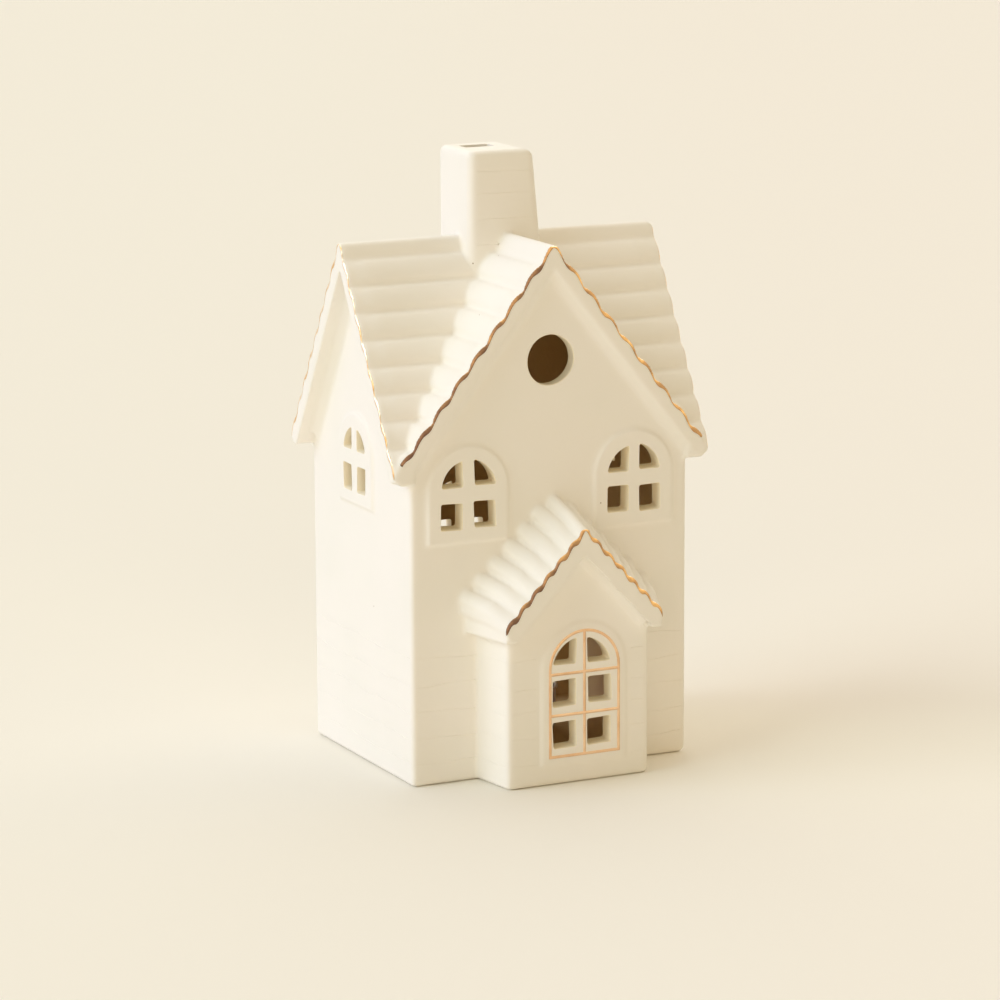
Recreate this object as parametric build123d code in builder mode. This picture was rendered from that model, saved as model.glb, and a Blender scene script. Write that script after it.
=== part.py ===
from build123d import *

import os
from dataclasses import dataclass
from math import hypot

# A porcelain tealight house with the candle that stands in it. All lengths are millimetres.
# +Z is up and the porch faces -Y. The origin is the middle of the walls' footprint, on the
# surface that the house stands on.

# The walls, cast about 4 mm thick
wall_width = 100.0
wall_depth = 77.2
wall_thickness = 4.0
wall_corner_radius = 1.8
floor_thickness = 4.0

# The two crossing roofs. Their ridges are level, and their ribs run along the ridges.
roof_rise = 70.5
side_overhang = 6.8
front_overhang = 2.6
roof_thickness = 5.0
roof_ribs = 8
roof_rib_depth = 1.3
ridge_radius = 2.2
eave_bulge = 1.2
ridge_cap_share = 0.72
rib_flank_share = 1 / 3

# The chimney, square at its top and upright on its left side. It starts below the ridge.
chimney_left = -13.9
chimney_front = -8.2
chimney_top_width = 23.7
chimney_foot_width = 29.0
chimney_depth = 24.1
chimney_above_ridge = 26.8
chimney_below_ridge = 31.0
chimney_wall = 5.0
chimney_corner_radius = 3.0
chimney_rim_radius = 2.0

# The windows. A pane is this wide and high, and the bars between the panes are of clay. The front
# windows stand a gap above the porch roof, and the roofs' tips and the other windows follow them.
pane_width = 7.5
side_pane_width = 6.3
pane_height = 8.5
mullion_width = 4.4
cross_bar = 5.1
arch_drop = 1.1
surround_margin = 4.6
surround_relief = 1.0
front_window_inset = 20.1
front_window_gap = 1.6
tip_above_sill = 19.2
side_window_middle = 2.5
side_window_drop = 12.7
back_window_middle = 1.8
back_window_drop = 41.7
vent_radius = 8.2
vent_drop = 37.6

# The doorway at the back, which the candle goes in and out of, under the back window
doorway_width = 46.0
doorway_gap = 4.8

# The porch, which narrows a little towards its front
porch_middle = 1.0
porch_depth = 17.6
porch_front_width = 51.0
porch_back_width = 56.0
porch_wall = 4.0
porch_corner_radius = 2.4
porch_roof_overhang = 5.0
porch_roof_thickness = 6.0
porch_ribs = 6
porch_rib_depth = 1.1
porch_ridge_cap_share = 0.56
porch_ridge_radius = 2.0
porch_bend_share = 0.55

# The porch roof's half width, tip height and rise at the wall, at its bend and at its rim
porch_wall_half_width = 34.4
porch_wall_tip = 58.5
porch_wall_rise = 33.4
porch_bend_half_width = 31.2
porch_bend_tip = 57.0
porch_bend_rise = 31.4
porch_rim_half_width = 28.6
porch_rim_tip = 54.0
porch_rim_rise = 30.6

# The porch window, two panes wide and three high
porch_window_offset = 1.8
porch_window_width = 24.8
porch_window_sill = 9.5
porch_window_row = 13.65
porch_window_rows = 3
porch_pane_width = 8.2
porch_pane_height = 8.6
porch_pane_shift = -0.8
porch_pane_lift = 0.5
porch_surround_margin = 2.7
porch_surround_relief = 0.6

# The gold lines fired onto the rims and onto the porch window
gold_width = 1.2
gold_thickness = 0.3

# The candle, a common tealight
cup_radius = 19.0
cup_draft = 0.6
cup_height = 16.0
cup_metal = 0.4
cup_rim = 0.6
cup_bottom_radius = 1.2
cup_clearance = 0.3
wax_clearance = 0.3
wax_height = 12.6
wax_edge_radius = 0.8
wick_radius = 0.8
wick_above_wax = 7.0
sustainer_radius = 6.0
sustainer_metal = 0.4
sustainer_neck_radius = 1.5
sustainer_neck_height = 3.0

# How far a cut runs past what it cuts
overrun = 10.0

front_face = wall_depth / 2
side_face = wall_width / 2
porch_face = front_face + porch_depth
porch_rim = porch_face + porch_roof_overhang
roof_front = front_face + front_overhang
roof_side = side_face + side_overhang

# The front windows' lower inner corners clear the porch roof's slopes.
front_window_spread = side_face - front_window_inset
surround_half = mullion_width / 2 + pane_width + surround_margin
corner_reach = front_window_spread - surround_half - porch_middle
porch_slope_fall = corner_reach * porch_wall_rise / porch_wall_half_width
porch_slope_height = porch_wall_tip + porch_wall_rise - porch_slope_fall
front_window_sill = porch_slope_height + front_window_gap + surround_margin
tip_height = front_window_sill + tip_above_sill
ridge_height = tip_height + roof_rise
side_window_sill = tip_height - side_window_drop
back_window_sill = tip_height - back_window_drop
doorway_top = back_window_sill - surround_margin - doorway_gap
vent_height = ridge_height - vent_drop
chimney_top = ridge_height + chimney_above_ridge
chimney_foot = ridge_height - chimney_below_ridge

os.makedirs("parts", exist_ok=True)


@dataclass
class Gable:
    """A ribbed gable roof's cross-section, drawn square to its ridge.

    The slopes' middle lines run from the two tips to a point above the rounded ridge. A place
    on a slope is given by how far it is down from the ridge and how far out of that line.
    """

    half_width: float
    tip_height: float
    rise: float
    thickness: float
    ribs: int
    rib_depth: float
    cap_share: float
    ridge_radius: float
    middle: float = 0.0

    @property
    def ridge_height(self):
        return self.tip_height + self.rise

    @property
    def slope_length(self):
        return hypot(self.half_width, self.rise)

    @property
    def steepness(self):
        return self.slope_length / self.half_width

    @property
    def inner_ridge(self):
        return self.ridge_height - self.thickness * self.steepness

    def place(self, down, out, side):
        across = (down * self.half_width + out * self.rise) / self.slope_length
        up = (out * self.half_width - down * self.rise) / self.slope_length
        return (self.middle + side * across, self.ridge_height + up)

    def draw_top(self, inset=0.0):
        """The ribbed top line, moved into the roof by an inset. Its ridge is a round rib too."""
        pitch = self.slope_length / (self.ribs + self.cap_share)
        cap = pitch * self.cap_share
        crest = self.rib_depth / 2
        shoulder = (self.ridge_radius - crest) * self.rise / self.half_width
        ridge_top = self.ridge_height + self.ridge_radius - (self.ridge_radius - crest) * self.steepness
        for side in (-1, 1):
            for rib in range(self.ribs):
                groove = cap + pitch * rib
                ThreePointArc(
                    self.place(groove, -crest - inset, side),
                    self.place(groove + pitch / 2, crest - inset, side),
                    self.place(groove + pitch, -crest - inset, side),
                )
            ThreePointArc(
                self.place(cap, -crest - inset, side),
                self.place((shoulder + cap) / 2, crest * rib_flank_share - inset, side),
                self.place(shoulder, crest - inset, side),
            )
        ThreePointArc(
            self.place(shoulder, crest - inset, -1),
            (self.middle, ridge_top - inset),
            self.place(shoulder, crest - inset, 1),
        )

    def tip(self, side, inset=0.0):
        return self.place(self.slope_length, -self.rib_depth / 2 - inset, side)

    def shell(self, plane=Plane.XY):
        """The roof's own section, an even thickness under the ribs, with rounded eaves."""
        with BuildSketch(plane) as section:
            with BuildLine():
                self.draw_top()
                for side in (-1, 1):
                    ThreePointArc(
                        self.tip(side),
                        self.place(self.slope_length + eave_bulge, -self.thickness / 2, side),
                        self.place(self.slope_length, -self.thickness, side),
                    )
                    Line(
                        self.place(self.slope_length, -self.thickness, side),
                        (self.middle, self.inner_ridge),
                    )
            make_face()
        return section.sketch

    def cover(self, bottom, plane=Plane.XY):
        """All that lies under the ribbed top line, down to a height."""
        left, right = self.tip(-1), self.tip(1)
        with BuildSketch(plane) as section:
            with BuildLine():
                self.draw_top()
                Polyline(left, (left[0], bottom), (right[0], bottom), right)
            make_face()
        return section.sketch

    def void(self, bottom, plane=Plane.XY):
        """All that lies under the smooth underside, down to a height."""
        reach = (self.inner_ridge - bottom) * self.half_width / self.rise
        with BuildSketch(plane) as section:
            with BuildLine():
                Polyline(
                    (self.middle - reach, bottom),
                    (self.middle, self.inner_ridge),
                    (self.middle + reach, bottom),
                    close=True,
                )
            make_face()
        return section.sketch

    def gold_line(self, plane):
        """A band as wide as the gold, just under the top line."""
        with BuildSketch(plane) as section:
            with BuildLine():
                self.draw_top()
                self.draw_top(gold_width)
                for side in (-1, 1):
                    Line(self.tip(side), self.tip(side, gold_width))
            make_face()
        return section.sketch


roof_values = (tip_height, roof_rise, roof_thickness, roof_ribs, roof_rib_depth, ridge_cap_share,
               ridge_radius)
side_gable = Gable(roof_front, *roof_values)
front_gable = Gable(roof_side, *roof_values)
porch_values = (porch_roof_thickness, porch_ribs, porch_rib_depth, porch_ridge_cap_share,
                porch_ridge_radius, porch_middle)
porch_gables = [
    Gable(porch_wall_half_width, porch_wall_tip, porch_wall_rise, *porch_values),
    Gable(porch_bend_half_width, porch_bend_tip, porch_bend_rise, *porch_values),
    Gable(porch_rim_half_width, porch_rim_tip, porch_rim_rise, *porch_values),
]
porch_bend = front_face + (porch_rim - front_face) * porch_bend_share
porch_planes = [Plane.XZ.offset(distance) for distance in (front_face, porch_bend, porch_rim)]
below_roof = tip_height - roof_thickness - overrun

# The flue goes down through both roofs into the room.
flue_width = chimney_top_width - 2 * chimney_wall
flue_depth = chimney_depth - 2 * chimney_wall
flue_middle = (chimney_left + chimney_top_width / 2, chimney_front + chimney_depth / 2)
with BuildSketch(Plane.XY.offset(chimney_top)) as flue:
    with Locations(flue_middle):
        RectangleRounded(flue_width, flue_depth, chimney_corner_radius / 2)
flue_length = chimney_top - chimney_foot + overrun

# The main roof runs from side to side. Under the front gable it is open.
with BuildPart() as main_roof:
    extrude(side_gable.shell(Plane.YZ), amount=roof_side, both=True)
    extrude(front_gable.void(below_roof, Plane.XZ), amount=roof_front + overrun, mode=Mode.SUBTRACT)
    extrude(flue.sketch, amount=-flue_length, mode=Mode.SUBTRACT)
main_roof.part.label = "main_roof"
export_step(main_roof.part, "parts/main_roof.step")

# The front gable's roof ends in two valleys on the main roof.
with BuildPart() as front_gable_roof:
    extrude(front_gable.shell(Plane.XZ), amount=roof_front)
    extrude(side_gable.cover(below_roof, Plane.YZ), amount=roof_side + overrun, both=True,
            mode=Mode.SUBTRACT)
    extrude(flue.sketch, amount=-flue_length, mode=Mode.SUBTRACT)
front_gable_roof.part.label = "front_gable_roof"
export_step(front_gable_roof.part, "parts/front_gable_roof.step")

# The chimney stands on the crossing of the ridges and follows the ribs at its foot.
with BuildPart() as chimney:
    for height, width in ((chimney_foot, chimney_foot_width), (chimney_top, chimney_top_width)):
        with BuildSketch(Plane.XY.offset(height)):
            with Locations((chimney_left + width / 2, flue_middle[1])):
                RectangleRounded(width, chimney_depth, chimney_corner_radius)
    loft(ruled=True)
    extrude(flue.sketch, amount=-flue_length, mode=Mode.SUBTRACT)
    fillet(chimney.faces().sort_by(Axis.Z)[-1].edges(), chimney_rim_radius)
    extrude(side_gable.cover(below_roof, Plane.YZ), amount=roof_side, both=True, mode=Mode.SUBTRACT)
    extrude(front_gable.cover(below_roof, Plane.XZ), amount=roof_front, mode=Mode.SUBTRACT)
chimney.part.label = "chimney"
export_step(chimney.part, "parts/chimney.step")

# The porch roof falls forward and gets smaller towards its rim.
with BuildPart() as porch_roof:
    loft([gable.shell(plane) for gable, plane in zip(porch_gables, porch_planes)], ruled=True)
porch_roof.part.label = "porch_roof"
export_step(porch_roof.part, "parts/porch_roof.step")

with BuildPart() as porch_cover:
    loft([gable.cover(-overrun, plane) for gable, plane in zip(porch_gables, porch_planes)], ruled=True)


def porch_footprint(inset):
    """The porch's plan, with rounded front corners, moved in from its outside by a wall or none."""
    front = porch_face - inset
    front_half = porch_front_width / 2 - inset
    back_half = porch_back_width / 2 - inset
    radius = porch_corner_radius - inset / 2
    with BuildSketch() as plan:
        with BuildLine():
            Polyline(
                (porch_middle - back_half, -front_face),
                (porch_middle - front_half, -front),
                (porch_middle + front_half, -front),
                (porch_middle + back_half, -front_face),
                close=True,
            )
        make_face()
        fillet(plan.vertices().group_by(Axis.Y)[0], radius)
    return plan.sketch


# The front wall is open behind the porch, as the cast shell is.
with BuildSketch(Plane.XZ.offset(front_face)) as porch_opening:
    with Locations((porch_middle, 0)):
        Rectangle(porch_back_width - 2 * porch_wall, ridge_height, align=(Align.CENTER, Align.MIN))
    add(porch_gables[0].void(-overrun), mode=Mode.INTERSECT)


def pane_holes(plane, middle, sill, width):
    """The four panes of a house window: two square ones, and two above them under an arch."""
    reach = mullion_width / 2 + width
    upper_sill = sill + pane_height + cross_bar
    with BuildSketch(plane) as panes:
        with Locations((middle, upper_sill - arch_drop)):
            Circle(reach)
        with Locations((middle, upper_sill)):
            Rectangle(2 * reach + overrun, reach + overrun, align=(Align.CENTER, Align.MAX),
                      mode=Mode.SUBTRACT)
        with Locations((middle, sill)):
            Rectangle(2 * reach, pane_height, align=(Align.CENTER, Align.MIN))
            Rectangle(mullion_width, 2 * (reach + pane_height), align=(Align.CENTER, Align.MIN),
                      mode=Mode.SUBTRACT)
    return panes.sketch


def surround_outline(plane, middle, sill, width):
    """The raised, round-topped field that the four panes are cut in."""
    reach = mullion_width / 2 + width + surround_margin
    arch_middle = sill + pane_height + cross_bar - arch_drop
    with BuildSketch(plane) as outline:
        with Locations((middle, arch_middle)):
            Circle(reach)
            Rectangle(2 * reach, arch_middle - sill + surround_margin, align=(Align.CENTER, Align.MAX))
    return outline.sketch


front_plane = Plane.XZ.offset(front_face)
back_plane = Plane.XZ.offset(-front_face)
left_plane = Plane.YZ.offset(-side_face)
right_plane = Plane.YZ.offset(side_face)

front_left_spot = (front_plane, -front_window_spread, front_window_sill, pane_width)
front_right_spot = (front_plane, front_window_spread, front_window_sill, pane_width)
left_spot = (left_plane, side_window_middle, side_window_sill, side_pane_width)
right_spot = (right_plane, side_window_middle, side_window_sill, side_pane_width)
back_spot = (back_plane, back_window_middle, back_window_sill, pane_width)

# The front wall reaches up into the front gable, with the vent, four panes a window and the
# opening to the porch cut through it.
with BuildPart() as front_wall:
    with BuildSketch(front_plane):
        Rectangle(wall_width, ridge_height, align=(Align.CENTER, Align.MIN))
        add(front_gable.cover(0), mode=Mode.INTERSECT)
    extrude(amount=-wall_thickness)
    fillet(front_wall.edges().filter_by(Axis.Z).group_by(Axis.Y)[0], wall_corner_radius)
    with BuildSketch(front_plane):
        with Locations((0, vent_height)):
            Circle(vent_radius)
    extrude(amount=-wall_thickness, mode=Mode.SUBTRACT)
    extrude(porch_opening.sketch, amount=-wall_thickness, mode=Mode.SUBTRACT)
    for spot in (front_left_spot, front_right_spot):
        extrude(pane_holes(*spot), amount=-wall_thickness, mode=Mode.SUBTRACT)
    add(main_roof.part, mode=Mode.SUBTRACT)
    add(front_gable_roof.part, mode=Mode.SUBTRACT)
front_wall.part.label = "front_wall"
export_step(front_wall.part, "parts/front_wall.step")

# The back wall ends under the eave and has the candle's doorway.
with BuildPart() as back_wall:
    with BuildSketch(back_plane):
        Rectangle(wall_width, tip_height, align=(Align.CENTER, Align.MIN))
    extrude(amount=wall_thickness)
    fillet(back_wall.edges().filter_by(Axis.Z).group_by(Axis.Y)[-1], wall_corner_radius)
    with BuildSketch(back_plane):
        with Locations((0, doorway_top - doorway_width / 2)):
            Circle(doorway_width / 2)
            Rectangle(doorway_width, doorway_top - doorway_width / 2 - floor_thickness,
                      align=(Align.CENTER, Align.MAX))
    extrude(amount=wall_thickness, mode=Mode.SUBTRACT)
    extrude(pane_holes(*back_spot), amount=wall_thickness, mode=Mode.SUBTRACT)
    add(main_roof.part, mode=Mode.SUBTRACT)
back_wall.part.label = "back_wall"
export_step(back_wall.part, "parts/back_wall.step")

# The side walls stand between the front and back walls and reach up into the side gables.
side_walls = {}
for name, spot, inward in (("left_wall", left_spot, 1), ("right_wall", right_spot, -1)):
    with BuildPart() as side_wall:
        with BuildSketch(spot[0]):
            Rectangle(wall_depth - 2 * wall_thickness, ridge_height, align=(Align.CENTER, Align.MIN))
            add(side_gable.cover(0), mode=Mode.INTERSECT)
        extrude(amount=inward * wall_thickness)
        extrude(pane_holes(*spot), amount=inward * wall_thickness, mode=Mode.SUBTRACT)
        add(main_roof.part, mode=Mode.SUBTRACT)
        add(front_gable_roof.part, mode=Mode.SUBTRACT)
    side_wall.part.label = name
    export_step(side_wall.part, f"parts/{name}.step")
    side_walls[name] = side_wall.part

# The floor fills the walls and reaches forward into the porch.
with BuildPart() as floor_slab:
    with BuildSketch():
        Rectangle(wall_width - 2 * wall_thickness, wall_depth - 2 * wall_thickness)
        with Locations((porch_middle, -front_face)):
            Rectangle(porch_back_width - 2 * porch_wall, wall_thickness, align=(Align.CENTER, Align.MIN))
        add(porch_footprint(porch_wall))
    extrude(amount=floor_thickness)
floor_slab.part.label = "floor_slab"
export_step(floor_slab.part, "parts/floor_slab.step")

# The raised window surrounds lie on the walls.
window_spots = (
    ("front_left_window", front_left_spot, 1),
    ("front_right_window", front_right_spot, 1),
    ("left_window", left_spot, -1),
    ("right_window", right_spot, 1),
    ("back_window", back_spot, -1),
)
for name, spot, outward in window_spots:
    with BuildPart() as window:
        extrude(surround_outline(*spot), amount=outward * surround_relief)
        extrude(pane_holes(*spot), amount=outward * surround_relief, mode=Mode.SUBTRACT)
    window.part.label = name
    export_step(window.part, f"parts/{name}.step")

# The porch window's field, its panes and the gold lines over it
porch_plane = Plane.XZ.offset(porch_face)
porch_window_middle = porch_middle + porch_window_offset
porch_window_half = porch_window_width / 2
porch_window_top = porch_window_sill + porch_window_row * porch_window_rows
porch_arch_middle = porch_window_top - porch_window_half


def porch_window_outline(margin, plane=Plane.XY):
    """The porch window's round-topped outline along the gold frame, moved out by a margin."""
    reach = porch_window_half + margin
    with BuildSketch(plane) as outline:
        with Locations((porch_window_middle, porch_arch_middle)):
            Circle(reach)
            Rectangle(2 * reach, porch_arch_middle - porch_window_sill + margin,
                      align=(Align.CENTER, Align.MAX))
    return outline.sketch


def porch_panes(plane):
    """Six panes in two columns and three rows, the top row under the arch."""
    column = porch_window_width / 4
    top_inset = (porch_window_width / 2 - porch_pane_width) / 2
    with BuildSketch(plane) as panes:
        for row in range(porch_window_rows):
            middle_height = porch_window_sill + porch_window_row * (row + 1 / 2) + porch_pane_lift
            for side in (-1, 1):
                with Locations((porch_window_middle + side * column + porch_pane_shift, middle_height)):
                    Rectangle(porch_pane_width, porch_pane_height)
        with Locations((porch_pane_shift, 0)):
            add(porch_window_outline(-top_inset), mode=Mode.INTERSECT)
    return panes.sketch


# The porch's three walls, open to the house at the back
with BuildPart() as porch_walls:
    extrude(porch_footprint(0), amount=porch_gables[0].ridge_height)
    extrude(porch_footprint(porch_wall), amount=porch_gables[0].ridge_height, mode=Mode.SUBTRACT)
    add(porch_cover.part, mode=Mode.INTERSECT)
    add(porch_roof.part, mode=Mode.SUBTRACT)
    extrude(porch_panes(porch_plane), amount=-2 * porch_wall, mode=Mode.SUBTRACT)
porch_walls.part.label = "porch_walls"
export_step(porch_walls.part, "parts/porch_walls.step")

with BuildPart() as porch_window:
    extrude(porch_window_outline(porch_surround_margin, porch_plane), amount=porch_surround_relief)
    extrude(porch_panes(porch_plane), amount=porch_surround_relief, mode=Mode.SUBTRACT)
porch_window.part.label = "porch_window"
export_step(porch_window.part, "parts/porch_window.step")

# The gold frame, its middle bar and its two cross bars, drawn on the porch window
with BuildPart() as porch_window_gold:
    with BuildSketch(porch_plane.offset(porch_surround_relief)):
        add(porch_window_outline(gold_width / 2))
        add(porch_window_outline(-gold_width / 2), mode=Mode.SUBTRACT)
        with Locations((porch_window_middle, porch_window_sill)):
            Rectangle(gold_width, porch_window_row * porch_window_rows, align=(Align.CENTER, Align.MIN))
        for row in range(1, porch_window_rows):
            with Locations((porch_window_middle, porch_window_sill + row * porch_window_row)):
                Rectangle(porch_window_width, gold_width)
    extrude(amount=gold_thickness)
porch_window_gold.part.label = "porch_window_gold"
export_step(porch_window_gold.part, "parts/porch_window_gold.step")

# The gold lines on the rims of the three house gables and of the porch
gold_lines = (
    ("front_gable_gold", front_gable, Plane.XZ.offset(roof_front), 1),
    ("left_gable_gold", side_gable, Plane.YZ.offset(-roof_side), -1),
    ("right_gable_gold", side_gable, Plane.YZ.offset(roof_side), 1),
    ("porch_gable_gold", porch_gables[-1], porch_planes[-1], 1),
)
for name, gable, plane, outward in gold_lines:
    with BuildPart() as gold:
        extrude(gable.gold_line(plane), amount=outward * gold_thickness)
    gold.part.label = name
    export_step(gold.part, f"parts/{name}.step")

# The candle's thin metal cup, a little wider at its top, with a turned-out rim
cup_base = floor_thickness + cup_clearance
cup_foot_radius = cup_radius - cup_draft
with BuildPart() as tealight_cup:
    with BuildSketch(Plane.XZ) as cup_section:
        with BuildLine():
            Polyline(
                (0, cup_base),
                (cup_foot_radius, cup_base),
                (cup_radius, cup_base + cup_height - cup_rim),
                (cup_radius + cup_rim, cup_base + cup_height - cup_rim),
                (cup_radius + cup_rim, cup_base + cup_height),
                (cup_radius - cup_metal, cup_base + cup_height),
                (cup_foot_radius - cup_metal, cup_base + cup_metal),
                (0, cup_base + cup_metal),
                close=True,
            )
        make_face()
        corners = cup_section.vertices().sort_by_distance((cup_foot_radius, 0, cup_base))
        fillet(corners[0], cup_bottom_radius)
        fillet(corners[1], cup_bottom_radius - cup_metal)
    revolve(axis=Axis.Z)
tealight_cup.part.label = "tealight_cup"
export_step(tealight_cup.part, "parts/tealight_cup.step")

# The wick's tin foot lies in the bottom of the wax.
wax_base = cup_base + cup_metal + wax_clearance
with BuildPart() as wick_sustainer:
    with Locations((0, 0, wax_base)):
        Cylinder(sustainer_radius, sustainer_metal, align=(Align.CENTER, Align.CENTER, Align.MIN))
        Cylinder(sustainer_neck_radius, sustainer_neck_height,
                 align=(Align.CENTER, Align.CENTER, Align.MIN))
        Cylinder(wick_radius, sustainer_neck_height, align=(Align.CENTER, Align.CENTER, Align.MIN),
                 mode=Mode.SUBTRACT)
wick_sustainer.part.label = "wick_sustainer"
export_step(wick_sustainer.part, "parts/wick_sustainer.step")

with BuildPart() as wick:
    with Locations((0, 0, wax_base)):
        Cylinder(wick_radius, wax_height + wick_above_wax,
                 align=(Align.CENTER, Align.CENTER, Align.MIN))
wick.part.label = "wick"
export_step(wick.part, "parts/wick.step")

# The wax fills the cup with a little air round it, and has lost the sharp edge at its top.
wax_foot_radius = cup_foot_radius - cup_metal - wax_clearance - cup_bottom_radius / 2
wax_top_radius = cup_foot_radius - cup_metal - wax_clearance
with BuildPart() as tealight_wax:
    with BuildSketch(Plane.XZ) as wax_section:
        with BuildLine():
            Polyline(
                (0, wax_base),
                (wax_foot_radius, wax_base),
                (wax_top_radius, wax_base + cup_bottom_radius),
                (wax_top_radius, wax_base + wax_height),
                (0, wax_base + wax_height),
                close=True,
            )
        make_face()
        fillet(wax_section.vertices().sort_by_distance((wax_top_radius, 0, wax_base + wax_height))[0],
               wax_edge_radius)
    revolve(axis=Axis.Z)
    add(wick_sustainer.part, mode=Mode.SUBTRACT)
    add(wick.part, mode=Mode.SUBTRACT)
tealight_wax.part.label = "tealight_wax"
export_step(tealight_wax.part, "parts/tealight_wax.step")
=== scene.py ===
from math import acos, asin, ceil, cos, hypot, pi, radians, sin
from random import Random

import bmesh
import bpy
from mathutils import Matrix, Vector
from mathutils.bvhtree import BVHTree


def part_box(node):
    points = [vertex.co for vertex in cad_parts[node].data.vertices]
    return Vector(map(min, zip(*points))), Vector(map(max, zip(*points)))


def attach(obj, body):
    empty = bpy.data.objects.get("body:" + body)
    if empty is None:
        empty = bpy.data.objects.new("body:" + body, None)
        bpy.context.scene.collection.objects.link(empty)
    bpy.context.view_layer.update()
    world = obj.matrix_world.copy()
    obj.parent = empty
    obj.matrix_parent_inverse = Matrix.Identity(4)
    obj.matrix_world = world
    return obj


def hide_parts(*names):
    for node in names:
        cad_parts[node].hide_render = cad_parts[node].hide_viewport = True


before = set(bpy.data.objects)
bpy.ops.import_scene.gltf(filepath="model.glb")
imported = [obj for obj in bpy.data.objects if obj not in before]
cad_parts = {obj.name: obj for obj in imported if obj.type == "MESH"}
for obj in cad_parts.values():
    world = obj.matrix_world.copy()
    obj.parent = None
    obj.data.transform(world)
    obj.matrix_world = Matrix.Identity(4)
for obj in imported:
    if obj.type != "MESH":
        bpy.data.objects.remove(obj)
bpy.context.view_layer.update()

# A porcelain tealight house. Its outside is made the way it is cast: the plain forms and the
# ribbed roofs are put together as one soft clay body, the openings are cut crisp with a knife,
# and the body is then parted into the walls, roofs, chimney, porch and windows.
MM = 0.001

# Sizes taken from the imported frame
front_low, front_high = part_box("front_wall")
SIDE_FACE = front_high.x
FRONT_FACE = -front_low.y
ROOF_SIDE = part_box("main_roof")[1].x
ROOF_FRONT = -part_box("front_gable_roof")[0].y
SIDE_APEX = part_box("left_wall")[1].z
FRONT_APEX = front_high.z
FLOOR_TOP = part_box("floor_slab")[1].z
chimney_low, chimney_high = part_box("chimney")
PORCH_FRONT = -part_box("porch_walls")[0].y
PORCH_RIM = -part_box("porch_roof")[0].y

# Sizes that the frame's boxes don't give
WALL = 4 * MM
ROOF_RISE = 70.5 * MM
ROOF_THICKNESS = 5 * MM
ROOF_RIBS = 8
RIDGE_CAP_SHARE = 0.72
CORNER = 1.6 * MM
FOOT_ROUND = 1.4 * MM
RIDGE_END_ROUND = 3.4 * MM
RIDGE_SAG = 0.8 * MM
CHIMNEY_ROUND = 4.6 * MM
RIGHT_FOOT_ROUND = 3.5 * MM
ROUND_STEPS = 8
CHIMNEY_WALL = 5 * MM
FLUE_FRONT_LIP = 13 * MM
FLUE_RIGHT_LIP = 3 * MM
PORCH_MIDDLE = 1 * MM
PORCH_BACK_HALF = 28 * MM
PORCH_FRONT_HALF = 25.5 * MM
PORCH_CORNER = 1.6 * MM
PORCH_ROOF_THICKNESS = 6 * MM
PORCH_RIBS = 6
PORCH_CAP_SHARE = 0.56
PORCH_BEND = FRONT_FACE + (PORCH_RIM - FRONT_FACE) * 0.55
# distance forward, half width, tip height and rise of the porch roof
PORCH_SECTIONS = (
    (FRONT_FACE, 34.4 * MM, 58.5 * MM, 33.4 * MM),
    (PORCH_BEND, 31.2 * MM, 57 * MM, 31.4 * MM),
    (PORCH_RIM, 28.6 * MM, 54 * MM, 30.6 * MM),
)
SIDE_SLOPE = ROOF_RISE / ROOF_FRONT
FRONT_SLOPE = ROOF_RISE / ROOF_SIDE
RIDGE = FRONT_APEX + ROOF_THICKNESS * hypot(1, FRONT_SLOPE)
TIP = RIDGE - ROOF_RISE

# How the clay is softened
GRAIN = 0.6 * MM
SOFTENING = 5
OVERLAP = 1 * MM
REACH = 20 * MM

# The ribs' rolls of clay: how many sides, how deep they root in the roof, how full they are
ROLL_SIDES = 16
ROLL_ROOT = 2 * MM
ROLL_WIDTH_SHARE = 0.4
RIM_WIDTH = 0.6
RIM_HEIGHT = 0.25 * MM
ROLL_HEIGHT = 1.1 * MM
NOSE_HEIGHT = 2 * MM
NOSE_LENGTH = 3.5 * MM
SWELLING = 7 * MM
TIP_RADIUS = 1.5 * MM

# Planes to draw on: each takes a drawing's right, up and outward to the house's own directions
FRONT = Matrix(((1, 0, 0, 0), (0, 0, -1, 0), (0, 1, 0, 0), (0, 0, 0, 1)))
BACK = Matrix(((-1, 0, 0, 0), (0, 0, 1, 0), (0, 1, 0, 0), (0, 0, 0, 1)))
LEFT = Matrix(((0, 0, -1, 0), (-1, 0, 0, 0), (0, 1, 0, 0), (0, 0, 0, 1)))
RIGHT = Matrix(((0, 0, 1, 0), (1, 0, 0, 0), (0, 1, 0, 0), (0, 0, 0, 1)))
GROUND = Matrix.Identity(4)


def piece(name, shape):
    """A named object made from a shape, which is used up."""
    mesh = bpy.data.meshes.new(name)
    shape.to_mesh(mesh)
    shape.free()
    made = bpy.data.objects.new(name, mesh)
    bpy.context.scene.collection.objects.link(made)
    return made


def discard(done):
    mesh = done.data
    bpy.data.objects.remove(done)
    bpy.data.meshes.remove(mesh)


def copy_of(made):
    twin = bpy.data.objects.new(made.name + "_copy", made.data.copy())
    bpy.context.scene.collection.objects.link(twin)
    return twin


def settle(made):
    """Makes what the modifiers give the piece's own mesh."""
    depsgraph = bpy.context.evaluated_depsgraph_get()
    mesh = bpy.data.meshes.new_from_object(made.evaluated_get(depsgraph))
    old = made.data
    made.modifiers.clear()
    made.data = mesh
    bpy.data.meshes.remove(old)
    return made


def carve(made, tool, operation="DIFFERENCE", keep=False):
    """Cuts with a tool, keeps what is inside it, or joins it on. The tool is used up or kept."""
    cut = made.modifiers.new("cut", "BOOLEAN")
    cut.solver = "MANIFOLD"
    cut.operation = operation
    cut.object = tool
    settle(made)
    if not keep:
        discard(tool)
    return made


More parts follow.
